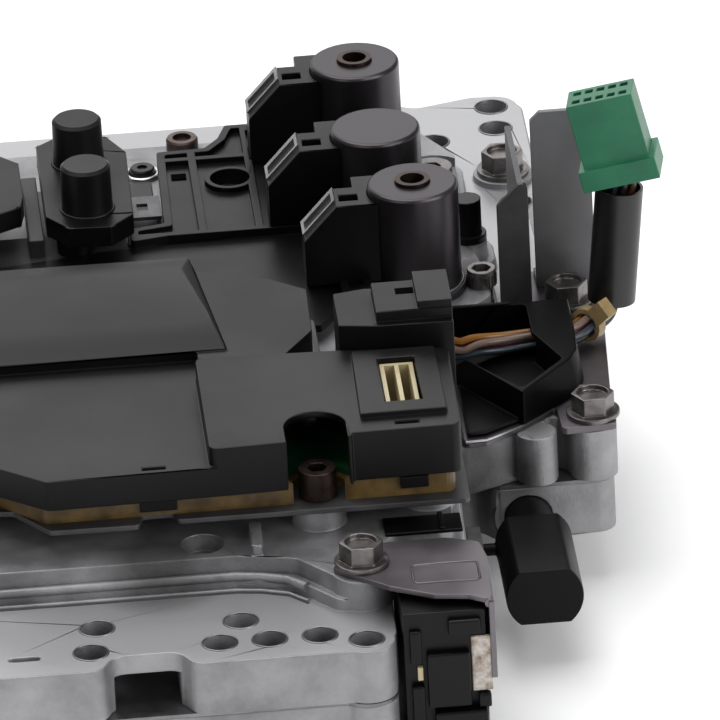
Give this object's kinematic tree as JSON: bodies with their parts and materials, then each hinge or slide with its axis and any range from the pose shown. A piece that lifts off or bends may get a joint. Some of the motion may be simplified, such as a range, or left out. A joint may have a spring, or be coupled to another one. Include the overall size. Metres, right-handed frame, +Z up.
{
  "type": "transmission valve body",
  "caption": "Valve body of cast layers with a control module, shift solenoids, harness, range switch, manual valve and sprung spools; it directs the gearbox's oil to its clutches.",
  "frame": {"origin": "on the bottom face, under the front of the solenoid row", "axes": "+X across the body towards the manual valve, +Y towards the rear flange, +Z up from the bottom face"},
  "size_m": [0.2242, 0.33, 0.1174],
  "materials": {
    "castings": "as cast, milled on the flanges",
    "plates": "plain sheet",
    "support_steel": "satin sheet",
    "shield_steel": "dark satin sheet",
    "heat_plate": "satin sheet",
    "module_black": "moulded, satin",
    "cap_black": "moulded, satin",
    "amber_plastic": "moulded, translucent",
    "board_green": "coated board",
    "pale_plastic": "moulded",
    "bright_tin": "bright plated sheet",
    "solenoid_steel": "dull plated steel",
    "copper": "copper",
    "connector_black": "moulded, satin",
    "turned_steel": "ground",
    "spring_steel": "drawn wire",
    "black_steel": "blackened steel",
    "sleeve_black": "smooth",
    "green_plastic": "moulded",
    "wire_colours": "smooth insulation",
    "bolt_steel": "plated",
    "screw_brown": "brown plated"
  },
  "bodies": {
    "castings": {"upper_body": "castings", "separator_plate": "plates", "lower_body": "castings", "lower_plate": "plates", "bottom_cover": "castings", "support_plate": "support_steel", "heat_plate": "heat_plate", "module_base": "amber_plastic", "module_cover": "module_black", "circuit_board": "board_green", "terminal_block": "pale_plastic", "harness_box": "module_black", "lead_frame": "module_black", "grounding_tab": "bright_tin", "cap_housing_near": "module_black", "cap_housing_far": "module_black", "round_caps": "cap_black", "can_near": "solenoid_steel", "can_mid": "solenoid_steel", "can_far": "solenoid_steel", "solenoid_bushes": "copper", "solenoid_coils": "copper", "pole_cores": "turned_steel", "connector_near": "connector_black", "connector_mid": "connector_black", "connector_far": "connector_black", "terminal_clips": "bright_tin", "plunger_spring_near": "spring_steel", "plunger_spring_mid": "spring_steel", "plunger_spring_far": "spring_steel", "switch_housing": "connector_black", "switch_bracket": "support_steel", "spool_spring_left": "spring_steel", "spool_spring_mid": "spring_steel", "spool_spring_right": "spring_steel", "bore_plugs": "turned_steel", "plug_keys": "turned_steel", "shield_plate": "shield_steel", "baffle": "support_steel", "wire_guide": "connector_black", "cable_tie": "pale_plastic", "sleeve": "sleeve_black", "green_connector": "green_plastic", "harness_wires": "wire_colours", "flange_bolts": "bolt_steel", "module_screws": "screw_brown", "standoff": "turned_steel"},
    "plunger_near": {"plunger_near": "turned_steel"},
    "plunger_mid": {"plunger_mid": "turned_steel"},
    "plunger_far": {"plunger_far": "turned_steel"},
    "spool_left": {"spool_left": "turned_steel"},
    "spool_mid": {"spool_mid": "turned_steel"},
    "spool_right": {"spool_right": "turned_steel"},
    "manual_valve": {"manual_valve": "black_steel", "switch_slider": "pale_plastic"}
  },
  "joints": [
    {"name": "plunger_near_lift", "type": "slide", "parent": "castings", "child": "plunger_near", "axis": [0, 0, 1], "range_m": [0, 0.0015], "stiffness_N_per_m": 600, "springref_m": -0.001, "deforming": ["plunger_spring_near"]},
    {"name": "plunger_mid_lift", "type": "slide", "parent": "castings", "child": "plunger_mid", "axis": [0, 0, 1], "range_m": [0, 0.0015], "stiffness_N_per_m": 600, "springref_m": -0.001, "deforming": ["plunger_spring_mid"]},
    {"name": "plunger_far_lift", "type": "slide", "parent": "castings", "child": "plunger_far", "axis": [0, 0, 1], "range_m": [0, 0.0015], "stiffness_N_per_m": 600, "springref_m": -0.001, "deforming": ["plunger_spring_far"]},
    {"name": "spool_left_slide", "type": "slide", "parent": "castings", "child": "spool_left", "axis": [0, 1, 0], "range_m": [0, 0.005], "stiffness_N_per_m": 300, "springref_m": -0.002, "deforming": ["spool_spring_left"]},
    {"name": "spool_mid_slide", "type": "slide", "parent": "castings", "child": "spool_mid", "axis": [0, 1, 0], "range_m": [0, 0.005], "stiffness_N_per_m": 300, "springref_m": -0.002, "deforming": ["spool_spring_mid"]},
    {"name": "spool_right_slide", "type": "slide", "parent": "castings", "child": "spool_right", "axis": [0, 1, 0], "range_m": [0, 0.005], "stiffness_N_per_m": 300, "springref_m": -0.002, "deforming": ["spool_spring_right"]},
    {"name": "manual_valve_slide", "type": "slide", "parent": "castings", "child": "manual_valve", "axis": [0, -1, 0], "range_m": [-0.012, 0.008]}
  ]
}
